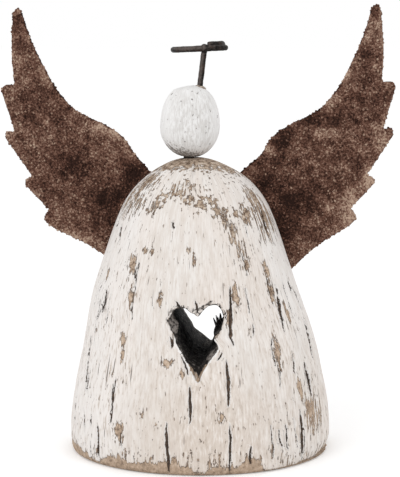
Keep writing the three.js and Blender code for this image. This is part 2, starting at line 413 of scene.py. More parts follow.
def rounded_skin(spots):
    """The body's points with the outer skin at its true, slightly uneven radius and a fuller crown."""
    uneven = sum(depth * lumps(spots, size, seed) for seed, (size, depth) in enumerate(HAND_CARVED))
    corner = hill(angle, WORN_CORNER_ANGLE, WORN_CORNER_SPREAD)
    corner = corner * smooth_step(height, WORN_CORNER_HEIGHT, 0)
    goal = true_radius + uneven - WORN_CORNER_DEPTH * corner
    share = np.where(on_skin & (facing[:, 2] < TOP_FACING), goal / np.maximum(radius, 1), 1.0)
    moved = spots.copy()
    moved[:, 0] = axis_x(height) + (spots[:, 0] - axis_x(height)) * share
    moved[:, 1] = spots[:, 1] * share
    from_neck = np.hypot(spots[:, 0] - NECK_X, spots[:, 1])
    risen = smooth_step(from_neck, NECK_SPREAD, NECK_FLAT) * (facing[:, 2] > CROWN_FACING)
    moved[:, 2] += NECK_RISE * risen
    return moved


put_spots(body, rounded_skin(spots_of(body)))
print("corner worn back by", WORN_CORNER_DEPTH, "mm")

# %% [markdown]
# Cracks and chips
# The wood has split along its grain in upright, spindle-shaped cracks, and the paint has flaked off in
# ragged chips. Both could be drawn in a picture, but a list of their places and a few sums do the same
# and stay sharp at any distance. Each place is an angle from the front towards the right and a height.
# For cracks each point stores how far it lies to the side of the nearest crack and half that crack's
# width there. The difference of two smooth numbers gives the material an edge finer than the mesh.

# %% The cracks: top angle, top height, foot angle, foot height, width
FRONT_CRACKS = [
    (-62, 115, -59, 107, 3.0), (-56, 84, -56.5, 73, 3.9), (-40, 41, -38, 22, 1.9),
    (-46.7, 20, -45.5, 2, 2.4), (-73.7, 28, -70, 14, 4.6), (-67, 60, -61, 34, 3.0),
    (-11, 25, -10, 1, 2.2), (-1, 43, -1, 25, 1.9), (16, 55, 16, 33, 2.2), (16, 25, 16, 1, 1.6),
    (23, 88, 20, 61, 2.1), (25, 14, 25, 4, 1.7), (56, 85, 52, 65, 3.4), (78.6, 69, 73, 48.5, 5.4),
    (62.4, 49, 63.8, 32, 4.4), (53, 27, 53.5, 3, 3.5), (42.9, 22, 44, 9, 1.6),
    (38.7, 20, 40.4, 11, 1.4), (-13, 119, -12, 115, 1.2), (78, 84, 79, 72, 3.6), (72, 88, 72, 80, 3.0),
    (54, 54, 52.4, 45, 1.5), (-59.6, 25, -56.8, 14, 1.8), (-52.5, 24, -51.6, 17, 1.5),
    (66, 123, 62, 110, 2.8), (-74, 120, -71, 112, 3.2),
]
HEART_SPLITS = [
    (-6.3, 83, -6.1, 79, 2.2), (-3.5, 81, -2.5, 77.5, 2.0), (3.1, 83, 4.7, 76.5, 2.0),
    (0.2, 79.5, 2.0, 75, 2.2), (7.2, 80.5, 5.5, 76.5, 2.2), (12.0, 82.5, 13.8, 78.5, 1.6),
    (14.2, 58.6, 11.5, 54.5, 1.4), (-10.2, 65.3, -9.4, 60, 1.8), (-5.2, 56.5, -1.6, 48.5, 1.3),
]
BACK_SEED = 7
LOWEST_FOOT = 1
CRACK_REACH = 2.5
CRACK_OPENING = 0.7
CRACK_DEPTH = 1.6
CRACK_SPINDLE = 0.6
CRACK_INSET = 0.05
CRACK_OVERRUN = 0.03
CRACK_WAVES = ((0.25, 6, 1), (0.1, 17, 2))


def drawn_cracks(count, seed, turns, tops, lengths, lean, widths):
    """Cracks drawn by chance: where each starts, how long it runs, how it leans and how wide it is."""
    draw = np.random.default_rng(seed)
    made = []
    for _ in range(count):
        turn = draw.uniform(*turns)
        top = draw.uniform(*tops)
        foot = max(top - draw.uniform(*lengths), LOWEST_FOOT)
        made.append((turn, top, turn + draw.uniform(-lean, lean), foot, draw.uniform(*widths)))
    return made


def degrees_from(turn):
    """Degrees from an angle, to the right of it above 0."""
    return (angle - turn + 180) % 360 - 180


def sideways(turn):
    """Distance along the skin from an angle, in millimetres, to the right of it above 0."""
    return np.radians(degrees_from(turn)) * true_radius


def crack_fields(cracks):
    """For each point: the distance to the side of its nearest crack, and half the crack's width there."""
    aside = np.full(len(angle), CRACK_REACH)
    half = np.full(len(angle), -1.0)
    nearest = np.full(len(angle), CRACK_REACH)
    for number, (top_turn, top, foot_turn, foot, width) in enumerate(cracks):
        share = (top - height) / (top - foot)
        wander = sum(size * np.sin(share * rate + late * number) for size, rate, late in CRACK_WAVES)
        distance = sideways(top_turn + (foot_turn - top_turn) * share) + wander
        spindle = np.clip(4 * share * (1 - share), 0, None) ** CRACK_SPINDLE
        along = (share > -CRACK_OVERRUN) & (share < 1 + CRACK_OVERRUN)
        here = on_skin & along & (np.abs(distance) < nearest)
        aside[here] = distance[here]
        half[here] = (CRACK_OPENING * width / 2 * spindle - CRACK_INSET)[here]
        nearest[here] = np.abs(distance)[here]
    return aside, half


back_cracks = drawn_cracks(
    count=22, seed=BACK_SEED, turns=(98, 262), tops=(14, 112), lengths=(9, 26), lean=3, widths=(0.9, 2.1),
)
hairlines = drawn_cracks(
    count=64, seed=BACK_SEED + 5, turns=(32, 328), tops=(8, 124), lengths=(5, 17), lean=2,
    widths=(0.5, 0.95),
)
cracks = FRONT_CRACKS + HEART_SPLITS + back_cracks + hairlines
crack_aside, crack_half = crack_fields(cracks)
print(len(cracks), "cracks,", int((crack_half > np.abs(crack_aside)).sum()), "points inside them")

# %% Where the paint has chipped: angle, top, foot, half width
FRONT_CHIPS = [
    (-38, 103, 92, 2.2), (-34, 87, 78, 1.9), (14.8, 72, 65, 1.2), (-1, 107, 104, 0.9),
    (-16, 88, 80, 1.0), (-37, 66, 59, 1.7), (-36, 58, 51, 1.2), (-12, 55, 51, 2.6), (-5, 50, 47, 1.2),
    (-33, 24, 13, 2.6), (26, 89, 79, 1.8), (50, 98, 91, 1.8), (50, 90, 80, 2.0), (43.5, 62, 48, 1.8),
    (59, 80, 70, 1.5), (54.5, 43, 33, 1.6), (63, 32, 15, 7.5), (12.4, 29.5, 25, 2.1),
    (-30, 106, 103, 1.6), (-60, 94, 88, 1.0), (44.5, 125.5, 116.5, 3.4), (35, 124, 120, 2.2),
    (30, 117, 109, 1.4), (32, 108, 101, 1.2), (28, 112, 107, 1.0), (64, 130, 119, 2.6),
    (2.5, 103, 97, 1.0), (20, 78, 70, 0.9), (36, 100, 96, 1.0), (-25, 106, 102, 0.9),
]
BACK_CHIPS = 34
BACK_CHIP_TURNS = (94, 266)
BACK_CHIP_TOPS = (12, 134)
BACK_CHIP_LENGTHS = (3, 14)
BACK_CHIP_HALVES = (0.9, 3.2)
CHIP_MIDDLE = 0.745
CHIP_FALL = 0.27
CHIP_CURVE = 1.5


def back_chips():
    """Chips in the same manner round the sides and the back, which the front view doesn't show."""
    draw = np.random.default_rng(BACK_SEED + 1)
    made = []
    for _ in range(BACK_CHIPS):
        turn = draw.uniform(*BACK_CHIP_TURNS)
        top = draw.uniform(*BACK_CHIP_TOPS)
        foot = top - draw.uniform(*BACK_CHIP_LENGTHS)
        made.append((turn, top, foot, draw.uniform(*BACK_CHIP_HALVES)))
    return made


def chip_wear(chips):
    """High inside each chip, 0.5 at its rim and falling off outside."""
    wear = np.zeros(len(angle))
    for turn, top, foot, half in chips:
        reach = np.hypot(sideways(turn) / half, (height - (top + foot) / 2) / ((top - foot) / 2))
        wear = np.maximum(wear, CHIP_MIDDLE - CHIP_FALL * reach ** CHIP_CURVE)
    return wear


chips = chip_wear(FRONT_CHIPS + back_chips())
print(len(FRONT_CHIPS) + BACK_CHIPS, "chips,", int((chips > 0.5).sum()), "points inside them")

# %% The worn band: angle and height along it
WORN_BAND = [(-33, 124), (-24, 130), (-17, 133), (-8, 130), (5, 127), (16, 127), (25, 122), (29, 115)]
BAND_HALF = 2.6
BAND_MIDDLE = 0.59
BAND_FALL = 0.17
BAND_CURVE = 1.3
BAND_STEPS = 9
FAR_AWAY = 99.0


def band_wear():
    """The ragged band of bare wood that runs across the shoulders."""
    nearest = np.full(len(angle), FAR_AWAY)
    for (turn, level), (next_turn, next_level) in zip(WORN_BAND, WORN_BAND[1:]):
        for share in np.linspace(0, 1, BAND_STEPS):
            aside = sideways(turn + (next_turn - turn) * share)
            rise = height - level - (next_level - level) * share
            nearest = np.minimum(nearest, np.hypot(aside, rise))
    return BAND_MIDDLE - BAND_FALL * (nearest / BAND_HALF) ** BAND_CURVE


band = band_wear()
print("points in the worn band:", int((band > 0.5).sum()))

# %% The streaked shoulders: angle, height, spread, tallness, most wear
STREAKED_SHOULDERS = [
    (-58, 136, 22, 6, 0.72), (-62, 127, 24, 11, 0.58), (62, 126, 9, 10, 0.86), (65, 119, 17, 14, 0.67),
    (150, 128, 45, 10, 0.46), (-150, 128, 45, 10, 0.46), (-4, 134, 34, 4, 0.4), (36, 104, 14, 12, 0.36),
]


def shoulder_wear():
    """The streaked shoulders, where the brush hardly covered the wood."""
    wear = np.zeros(len(angle))
    for turn, level, spread, tall, most in STREAKED_SHOULDERS:
        wear = np.maximum(wear, most * hill(degrees_from(turn), 0, spread) * hill(height, level, tall))
    return wear


shoulders = shoulder_wear()
print("most wear on the shoulders:", round(float(shoulders.max()), 2))

# %% The bare cap and the rim of the base
BARE_CAP = 142.7
CAP_DROP = 3
CAP_BLEND = 8
RIM_TURNS = (
    -90, -70, -60, -46, -40, -34, -28, -21, -15, -7, -2, 2, 5, 9, 15, 19, 23, 28, 32, 38, 45, 60, 75, 90,
)
RIM_TOPS = (5, 6.5, 5, 2.5, 6, 7, 4.5, 5.5, 6, 8, 5, 1.5, 1, 5, 5, 3, 8, 7, 1, 0.5, 1, 1.5, 3, 5)
RIM_BLEND = 4.5
END_UNEVEN = 1.5
BACK_RIM = 5
BACK_UNEVEN = 3
BARE_FOOT = 0.6
FOOT_WEAR = 1.2
LOW_WEAR = 0.3
LOW_FROM = 26
LOW_TO = 4


def end_wear(spots):
    """The worn cap, and the rim of the base, whose upper edge goes up and down."""
    sides = np.sin(np.radians(angle)) ** 2
    cap = height + END_UNEVEN * lumps(spots, size=7, seed=21) - BARE_CAP + CAP_DROP * sides
    back_top = BACK_RIM + BACK_UNEVEN * lumps(spots, size=12, seed=24)
    rim_top = np.where(np.abs(angle) < 90, np.interp(angle, RIM_TURNS, RIM_TOPS), back_top)
    rim = 0.5 + (rim_top + END_UNEVEN * lumps(spots, size=6, seed=22) - height) / RIM_BLEND
    rim = np.maximum(rim, FOOT_WEAR * (height < BARE_FOOT))
    rim = np.maximum(rim, LOW_WEAR * smooth_step(height, LOW_FROM, LOW_TO))
    return np.maximum(0.5 + cap / CAP_BLEND, rim)


skin_spots = spots_of(body)
ends = end_wear(skin_spots)
print("points worn at both ends:", int((ends > 0.5).sum()))

# %% All the wear together
THIN_PAINT = 0.14
THIN_UNEVEN = 0.12
MOST_WEAR = 1.1
CUT_DEPTH = 0.8
CUT_WEAR = 0.7
wear_layers = [
    chips,
    band,
    ends,
    shoulders,
    THIN_PAINT + THIN_UNEVEN * lumps(skin_spots, size=16, seed=23),
]
wear = np.clip(np.maximum.reduce(wear_layers), 0, MOST_WEAR)
wear = np.where(facing[:, 2] < UNDERSIDE, 1.0, wear)
wear = np.where(inset > CUT_DEPTH, np.maximum(wear, CUT_WEAR), wear)
print("bare share of the skin:", round(float((wear[on_skin] > 0.5).mean()), 3))

# %% [markdown]
# The scorched heart
# The heart was sawn right through and its walls were blackened. The black stops at the edge of the cut
# along the lower sides, where the paint laps over, and it bleeds into ragged splinters along the top.

# %% Find the walls of the heart and the skin round its edge
HEART_FOOT = 42
HEART_TOP = 86
HEART_MIDDLE = 66
WALL_FROM = 0.35
WALL_DEPTH = 1.2
EDGE_BAND = (0.5, 2.0)
SOOT_AT_LIP = 0.44
SOOT_AT_TOP = 0.38
SOOT_FADE = 0.22
RAGGED_LEVELS = (69, 75)
DEEP_BLACK = 0.5
GREY_FROM = 2
GREY_DEEP = 16
TIP_BARE = 0.74
TIP_BARE_LEVELS = (54, 52)
TIP_BARE_DEEP = 12


def heart_fields(spots):
    """How black each point is, and how far it lies from the edge of the heart."""
    here = (height > HEART_FOOT) & (height < HEART_TOP)
    wall = smooth_step(inset, WALL_FROM, WALL_DEPTH) * here
    edge = np.flatnonzero(here & (inset > EDGE_BAND[0]) & (inset < EDGE_BAND[1]))
    tree = tree_of(spots, edge)
    away = np.array([tree.find(Vector(s))[2] if near else FAR_AWAY for s, near in zip(spots, here)])
    top = smooth_step(spots[:, 2], *RAGGED_LEVELS)
    lip = np.clip(SOOT_AT_LIP + SOOT_AT_TOP * top - SOOT_FADE * away, 0, 1) * on_skin
    made = np.maximum(wall * (1 + DEEP_BLACK * smooth_step(inset, GREY_FROM, GREY_DEEP)), lip)
    tip = smooth_step(spots[:, 2], *TIP_BARE_LEVELS) * smooth_step(inset, TIP_BARE_DEEP, 0)
    return made - TIP_BARE * tip * (spots[:, 1] < 0), away


black, from_heart = heart_fields(skin_spots)
print("points on the heart's walls:", int((black > 0.9).sum()))

# %% [markdown]
# A hand-held saw
# The heart in the solid is true, but the saw that cut it was not. Its walls bulge, flare and drop in places
# that can be listed: each row says how far the wall moves, where its middle is and how far it spreads.

# %% Let the saw wander
RIGHT_WALL = (2.6, 5.6)
LEFT_WALL = (2.1, -1.4)
FRONT_PART = (0.5, 0.15)
SKIN_PULL = 4
LEFT_DRIFT = 4.8
RIGHT_LIP = [(1.1, 58.8, 3), (-3.0, 64.5, 2.4), (-1.0, 70, 4), (-1.2, 47.5, 3)]
RIGHT_BULGE = [(-2.7, 66.5, 3.2)]
BULGE_AT = 0.3
BULGE_LONG = 0.16
FLARE_LEFT = 71
FLARE_RIGHT = 56
LEFT_FLARE = [(4.0, FLARE_LEFT, 5)]
RIGHT_FLARE = [(-2.0, FLARE_RIGHT, 4)]
FLARE_FROM = 0.8
FLARE_DEEP = 6
FLARE_PART = (0.5, 0.1)
CEILING_FROM = 69
CEILING_TO = 74
CLEFT_DROP = [(-1.7, 2.2, 2.4)]
RIGHT_DROP = 1.2
LEFT_DROP = 1.8
LEFT_SAG = [(-1.3, -1.4, 2)]
TIP_DROP = [(-2.2, 46, 4.5)]
TIP_RAMP_TOP = 53
TIP_RAMP_FROM = 0.6
TIP_RAMP_DEEP = 9
TIP_RAMP_RISE = 0.9
SAW_ROUGH = 0.35
SAW_TOOTH = 2.5


def bends(values, rows):
    """The sum of the bends in a wall."""
    return sum(far * hill(values, middle, spread) for far, middle, spread in rows)


def wandering_saw(spots):
    """How far each point of the heart moves from the true heart, because it was sawn by hand."""
    x, y, z = spots.T
    wall = (height > HEART_FOOT) & (height < HEART_TOP) & ~on_skin
    near = np.where(wall, 1.0, hill(from_heart, 0, SKIN_PULL) * (height < HEART_TOP + SKIN_PULL))
    through = np.clip((y + true_radius) / (2 * true_radius), 0, 1)
    front = smooth_step(through, *FRONT_PART)
    right = smooth_step(x, *RIGHT_WALL)
    left = smooth_step(x, *LEFT_WALL)
    aside = right * front * bends(z, RIGHT_LIP) - LEFT_DRIFT * through * left
    aside += right * wall * bends(z, RIGHT_BULGE) * hill(through, BULGE_AT, BULGE_LONG)
    flare = wall * smooth_step(inset, FLARE_FROM, FLARE_DEEP) * smooth_step(through, *FLARE_PART)
    aside += flare * (left * bends(z, LEFT_FLARE) + right * bends(z, RIGHT_FLARE))
    lobes = bends(x, CLEFT_DROP) - RIGHT_DROP * right - left * (LEFT_DROP - bends(x, LEFT_SAG))
    fall = lobes * smooth_step(z, CEILING_FROM, CEILING_TO) + bends(z, TIP_DROP)
    ramp = smooth_step(inset, TIP_RAMP_FROM, TIP_RAMP_DEEP) * (y < 0) * wall
    fall += np.clip(TIP_RAMP_TOP - z, 0, None) * TIP_RAMP_RISE * ramp
    rough = SAW_ROUGH * lumps(spots, SAW_TOOTH, 81) * near
    return np.stack([aside * near + rough, np.zeros(len(x)), fall * near + rough], axis=1)


saw_marks = wandering_saw(skin_spots)
print("the saw strayed by up to", round(float(np.abs(saw_marks).max()), 1), "mm")

# %% [markdown]
# Carve, then leave notes for the paint
# Cracks and chips are sunk along the normals, so that they catch the light. Then each point keeps the
# numbers that the paint will need: where it lies on a drum round the figure, how worn it is, how black, how
# streaky, and how much painted highlight its side of the body gets.

# %% Carve the damage into the skin
CHIP_DEPTH = 0.35
CHIP_FACING = 0.6
CRACK_SLOPE = (-0.5, 0.5)
CHIP_SLOPE = (0.4, 0.75)
SKIN_ROUGH = 0.05


def carve(spots):
    """Sinks the cracks and the chips along the skin's normals."""
    crack = smooth_step(crack_half - np.abs(crack_aside), *CRACK_SLOPE)
    chip = smooth_step(wear, *CHIP_SLOPE) * on_skin * (facing[:, 2] < CHIP_FACING)
    depth = CRACK_DEPTH * crack + CHIP_DEPTH * chip + SKIN_ROUGH * lumps(spots, size=2.2, seed=31)
    depth = np.where(facing[:, 2] < UNDERSIDE, 0, depth)
    return spots - normals_of(body) * depth[:, None]


put_spots(body, carve(skin_spots) + saw_marks)
print("deepest crack:", CRACK_DEPTH, "mm")

# %% Keep the numbers for the paint
DRUM_RADIUS = 55
SHOULDER_EDGE = (0.1, 0.4)
LOW_RIGHT_STREAKS = 1.1
LOW_RIGHT_TURN = (64, 14)
LOW_RIGHT_LEVEL = (24, 14)
FOOT_STREAKS = 0.6
FOOT_LEVELS = (16, 6)
BAND_STREAKS = 0.2
BAND_EDGE = (0.35, 0.55)
# grey at the front of the heart's walls: partly ash, partly a painted sheen where light reaches
ASH_SHEEN_LEFT = (-6, -10)
ASH_SHEEN_LEFT_DEEP = (9, 5)
ASH_SHEEN_RIGHT = (6, 9)
ASH_SHEEN_RIGHT_DEEP = (8, 4)
ASH_SHEEN_RIGHT_SHARE = 0.7
# painted highlight: the sides of the body are painted paler, standing in for more light on them
LEFT_HIGHLIGHT = 0.5
LEFT_HIGHLIGHT_FROM = (-0.35, -0.75)
RIGHT_HIGHLIGHT = 0.4
RIGHT_HIGHLIGHT_FROM = (0.6, 0.88)
RIGHT_HIGHLIGHT_LEVELS = (40, 80)
LIP_WIDE = (1.7, 0.3)
LIP_LEVELS = (HEART_MIDDLE + 4, HEART_MIDDLE - 4)
WARM_TURN = (5, 34)
WARM_LEVELS = (70, 12)


def on_drum():
    """Places on a drum round the body, and the true places underneath."""
    turn = np.radians(angle)
    places = np.stack([DRUM_RADIUS * np.sin(turn), -DRUM_RADIUS * np.cos(turn), height], axis=1)
    under = facing[:, 2] < UNDERSIDE
    places[under] = skin_spots[under]
    return places


def streakiness():
    """High where thin paint broke up into streaks: shoulders, low right side, foot and band."""
    low_right = LOW_RIGHT_STREAKS * hill(angle, *LOW_RIGHT_TURN) * hill(height, *LOW_RIGHT_LEVEL)
    foot = FOOT_STREAKS * smooth_step(height, *FOOT_LEVELS)
    along_band = BAND_STREAKS * smooth_step(band, *BAND_EDGE)
    return np.maximum.reduce([smooth_step(shoulders, *SHOULDER_EDGE), low_right, foot, along_band])


def ash_and_sheen_places(spots):
    """Where the scorched walls are grey near the front, high on the left and low on the right: grey ash,
    and a painted sheen where light falls on the walls.
    """
    x, y, z = spots.T
    upper_left = smooth_step(x, *ASH_SHEEN_LEFT) * hill(z, FLARE_LEFT, 6) * smooth_step(inset, *ASH_SHEEN_LEFT_DEEP)
    lower_right = smooth_step(x, *ASH_SHEEN_RIGHT) * hill(z, FLARE_RIGHT, 5) * smooth_step(inset, *ASH_SHEEN_RIGHT_DEEP)
    return (upper_left + ASH_SHEEN_RIGHT_SHARE * lower_right) * (y < 0)


def side_highlight():
    """Painted highlight: how much paler each side of the body is painted than its front, standing in for
    light on the sides.
    """
    to_right = np.sin(np.radians(angle))
    right = smooth_step(to_right, *RIGHT_HIGHLIGHT_FROM) * smooth_step(height, *RIGHT_HIGHLIGHT_LEVELS)
    return LEFT_HIGHLIGHT * smooth_step(to_right, *LEFT_HIGHLIGHT_FROM) + RIGHT_HIGHLIGHT * right


# white paint lapping over the edge of the heart, painted brighter as a highlight
heart_lip = smooth_step(from_heart, *LIP_WIDE) * smooth_step(height, *LIP_LEVELS)
paint_notes = {
    "grain_place": on_drum(),
    "crack_aside": crack_aside,
    "crack_half": crack_half,
    "wear": wear,
    "black": black,
    "ashen": ash_and_sheen_places(skin_spots),
    "streaky": streakiness(),
    "heart_lip": heart_lip,
    "warmth": hill(angle, *WARM_TURN) * smooth_step(height, *WARM_LEVELS),
    "pale_side": side_highlight(),
}
for note, values in paint_notes.items():
    store(body, note, values)
print(len(paint_notes), "numbers kept on each point")

# %% [markdown]
# Worn paint over wood
# Thin cream paint was brushed along the grain, so everything in the finish is drawn out upright. The noise
# is read at a place on a drum round the figure instead of the place in space, so that streaks follow the
# body up to the shoulders and meet at the back. The wear that the points carry is roughened by noise and
# then cut off sharply, which is what gives the chips their torn edges.

# %% The noises of the finish: upright stretch, scale, detail and roughness
PAINT_NOISES = {
    "brush": (0.1, 1.3, 3.0, 0.65),
    "broad": (0.3, 0.26, 3.0, 0.6),
    "patch": (0.5, 0.045, 2.0, 0.5),
    "torn": (0.4, 0.8, 5.0, 0.7),
    "fleck": (0.3, 0.9, 1.0, 0.4),
    "fray": (0.2, 1.0, 3.0, 0.6),
    "dash": (0.07, 0.75, 2.0, 0.5),
    "flake": (0.6, 0.3, 2.0, 0.5),
}
SOLID_NOISES = {
    "crumb": (1.0, 0.48, 4.0, 0.72),
    "blob": (0.6, 0.55, 3.0, 0.6),
}


def paint_noises(recipe):
    """Every noise by its name, with the height on the body as one more."""
    drum = recipe.attribute("grain_place", "Vector")
    solid = recipe.object_millimetres()
    made = {"level": recipe.node("ShaderNodeSeparateXYZ", {}, {0: drum}, "Z")}
    for place, table in ((drum, PAINT_NOISES), (solid, SOLID_NOISES)):
        for name, (upright, *look) in table.items():
            made[name] = recipe.grain(recipe.stretched(place, (1, 1, upright)), *look)
    return SimpleNamespace(**made)


print(len(PAINT_NOISES), "noises follow the brush,", len(SOLID_NOISES), "don't")

# %% Where the paint is worn, split or burnt
CROWN_FROM_TO = (112, 124)
BARE_EDGE = (0.465, 0.515)
SHADE_RIM_OUTER = (0.40, 0.49)
SHADE_RIM_INNER = (0.52, 0.64)
CRACK_EDGE = (-0.15, 0.12)
CRACK_LIP = (-0.8, -0.25)
SCORCH_EDGE = (0.5, 0.56)
HAIRLINE_EDGE = (0.69, 0.745)


def wear_masks(recipe, grain):
    """Masks for bare wood, its rim of painted shade, cracks, their pale lips, scorching and hairlines."""
    upper = recipe.step(grain.level, *CROWN_FROM_TO)
    upright = grain.torn.swing(1.4) + grain.fray.swing(0.9)
    worn = recipe.attribute("wear") + upright * (1 - upper * 0.75)
    worn = worn + grain.blob.swing(1.7) * upper + grain.flake.swing(0.6) + grain.crumb.swing(0.5)
    worn = worn + grain.dash.swing(2.0) * recipe.attribute("streaky")
    aside = recipe.attribute("crack_aside") + grain.torn.swing(1.3) + grain.fray.swing(0.9)
    inside = recipe.attribute("crack_half") - abs(aside) + grain.crumb.swing(1.0)
    burnt = recipe.attribute("black") + grain.torn.swing(0.9)
    crack = recipe.step(inside, *CRACK_EDGE)
    return SimpleNamespace(
        bare=recipe.step(worn, *BARE_EDGE),
        # painted shade: a thin dark band round the edge of the bare wood, where the paint steps down
        rim=recipe.step(worn, *SHADE_RIM_OUTER) - recipe.step(worn, *SHADE_RIM_INNER),
        crack=crack,
        lip=recipe.step(inside, *CRACK_LIP) - crack,
        scorched=recipe.step(burnt, *SCORCH_EDGE),
        hairline=recipe.step(grain.dash, *HAIRLINE_EDGE),
    )


print("bare wood starts where the wear is about", BARE_EDGE[0])

# %% Cream paint
CREAM = tint(243, 239, 235)
CREAM_SHADE = tint(223, 214, 206)
CREAM_DEEP = tint(204, 191, 179)
CREAM_SIDE_HIGHLIGHT = tint(250, 247, 245)
CREAM_BRIGHT = tint(247, 241, 236)
CREAM_WARM = tint(231, 220, 211)
CREAM_LOW = tint(216, 202, 189)
LIP_WHITE_HIGHLIGHT = tint(247, 244, 241)
DARK_WOOD = tint(122, 101, 85)
# dirt colour, also used as painted shade round the chips
GRIME_AND_SHADE = tint(92, 76, 64)
ROUGH_PAINT = (115, 50)
LIP_EDGE = (0.3, 0.55)
SPECK_EDGE = (0.72, 0.76)


def cream_paint(recipe, grain, masks):
    """Brushed cream, coarser towards the foot, with painted highlights on the sides, white round the heart
    partly as a painted highlight, and dark specks and hairlines.
    """
    rough = 0.27 + recipe.step(grain.level, *ROUGH_PAINT) * 0.39
    rough = rough * (0.5 + recipe.step(grain.patch, 0.38, 0.62) * 0.85)
    white_lip = recipe.step(recipe.attribute("heart_lip") + grain.torn.swing(1.5), *LIP_EDGE)
    paint = recipe.mix(recipe.step(grain.brush, 0.25, 0.7), CREAM_SHADE, CREAM)
    layers = [
        (recipe.step(grain.broad, 0.42, 0.66) * 0.8, CREAM_SHADE),
        (recipe.step(grain.patch, 0.4, 0.7) * 0.6, CREAM_WARM),
        (recipe.attribute("warmth") * 0.7, CREAM_LOW),
        # painted highlight on the sides of the body
        (recipe.attribute("pale_side"), CREAM_SIDE_HIGHLIGHT),
        (recipe.step(grain.fray, 0.5, 0.68) * rough, CREAM_DEEP),
        (recipe.step(grain.fray, 0.5, 0.34) * rough * 0.75, CREAM_BRIGHT),
        (masks.lip * 0.8, CREAM),
        # white paint lip round the heart, partly a painted highlight
        (white_lip, LIP_WHITE_HIGHLIGHT),
        (masks.hairline * 0.75, GRIME_AND_SHADE),
        (recipe.step(grain.fleck, *SPECK_EDGE) * 0.7, DARK_WOOD),
    ]
    return recipe.layered(paint, layers)


print("the paint gets coarser from", ROUGH_PAINT[0], "mm down to", ROUGH_PAINT[1], "mm")

# %% Bare and scorched wood
TAN_WOOD = tint(200, 177, 155)
BARE_WOOD = tint(191, 171, 151)
PALE_WOOD = tint(226, 212, 198)
SCORCH = tint(44, 40, 38)
SCORCH_GREY = tint(150, 142, 136)
TAN_FROM_TO = (112, 88)
COARSE_FROM_TO = (60, 100)
ASH_EDGE = (0.26, 0.7)
SHALLOW_FROM = (0.85, 1.0)
SHALLOW_TO = (1.02, 1.4)


def bare_wood(recipe, grain):
    """Tan below and greyer on the crown, speckled with grime and pale fibres."""
    coarse = 0.45 + recipe.step(grain.level, *COARSE_FROM_TO) * 0.55
    dark = 1 - recipe.step(grain.brush * 0.3 + grain.crumb * 0.7, 0.4, 0.56)
    grimy = 1 - recipe.step(grain.crumb, 0.34, 0.45)
    wood = recipe.mix(recipe.step(grain.level, *TAN_FROM_TO), BARE_WOOD, TAN_WOOD)
    layers = [
        (dark * coarse, DARK_WOOD),
        (recipe.step(grain.crumb, 0.54, 0.66) * coarse * 0.8, PALE_WOOD),
        (grimy * coarse * 0.9, GRIME_AND_SHADE),
        (recipe.attribute("streaky") * recipe.step(grain.brush, 0.46, 0.6) * 0.55, DARK_WOOD),
    ]
    return recipe.layered(wood, layers)


def scorched_wood(recipe, grain):
    """Charcoal mottled with grey ash, with more grey near the edge of the heart and at the front of its
    upper left and lower right walls, partly ash and partly a painted sheen.
    """
    burnt = recipe.attribute("black")
    shallow = recipe.step(burnt, *SHALLOW_FROM) - recipe.step(burnt, *SHALLOW_TO)
    # the grey near the heart's edge and at the front of its walls is partly a painted sheen
    soot = grain.crumb.swing(2.1) + grain.torn * 0.5 + shallow * 0.1 + recipe.attribute("ashen") * 0.22
    return recipe.mix(recipe.step(soot, *ASH_EDGE), SCORCH, SCORCH_GREY)


print("bare wood turns from grey to tan between", TAN_FROM_TO[0], "and", TAN_FROM_TO[1], "mm")

# %% Put the finish of the body together
CRACK_BLACK = tint(72, 61, 54)


def painted_wood():
    """Paint, with wood where it is worn, painted shade on the torn rims, dark cracks and a scorched heart.
    """
    recipe = Recipe("worn_cream_paint")
    grain = paint_noises(recipe)
    masks = wear_masks(recipe, grain)
    gap = recipe.mix(recipe.step(grain.crumb, 0.46, 0.62) * 0.7, CRACK_BLACK, DARK_WOOD)
    layers = [
        (masks.bare, bare_wood(recipe, grain)),
        # painted shade along the torn edges of the paint
        (masks.rim * recipe.step(grain.fleck, 0.3, 0.54) * 0.85, GRIME_AND_SHADE),
        (masks.crack, gap),
        (masks.scorched, scorched_wood(recipe, grain)),
    ]
    colour = recipe.layered(cream_paint(recipe, grain, masks), layers)
    relief = grain.brush * 0.12 + grain.torn * 0.06 - masks.bare * 0.22 - masks.crack * 0.9
    relief = relief - masks.scorched * 0.1 - masks.hairline * 0.2
    return recipe.finish(colour, 0.65 + masks.bare * 0.15, relief, Specular_IOR_Level=0.15)


coat(body, painted_wood())
print("body finish:", len(body.data.materials[0].node_tree.nodes), "nodes")

# %% [markdown]
# The head
# A turned wooden egg, painted a cooler white, with fine upright brush lines and a few small pits. Its
# sides and top are painted lighter as a highlight, and its underside, where it meets the neck, is painted
# grey as shade.

# %% Skin the head
HEAD_FLAT_FACING = np.array((-0.17, -0.1, 0.98))
HEAD_FLAT_AT = 3.0
HEAD_FLAT_SHARE = 0.8
HEAD_UNEVEN = ((11, 0.25), (3, 0.06))
HEAD_SEED = 41
HEAD_DRUM = 15
# painted shade under the head leans a little to its left
SHADE_LEAN = 0.22
HEAD_HIGHLIGHT_SHARE = 0.6


def egg_skin(spots):
    """The head's points, a little uneven and worn flat near its top."""
    uneven = sum(depth * lumps(spots, size, HEAD_SEED + n) for n, (size, depth) in enumerate(HEAD_UNEVEN))
    moved = spots + normals_of(head) * uneven[:, None]
    over = (moved - head_high) @ HEAD_FLAT_FACING - HEAD_FLAT_AT
    return moved - np.clip(over, 0, None)[:, None] * HEAD_FLAT_FACING * HEAD_FLAT_SHARE


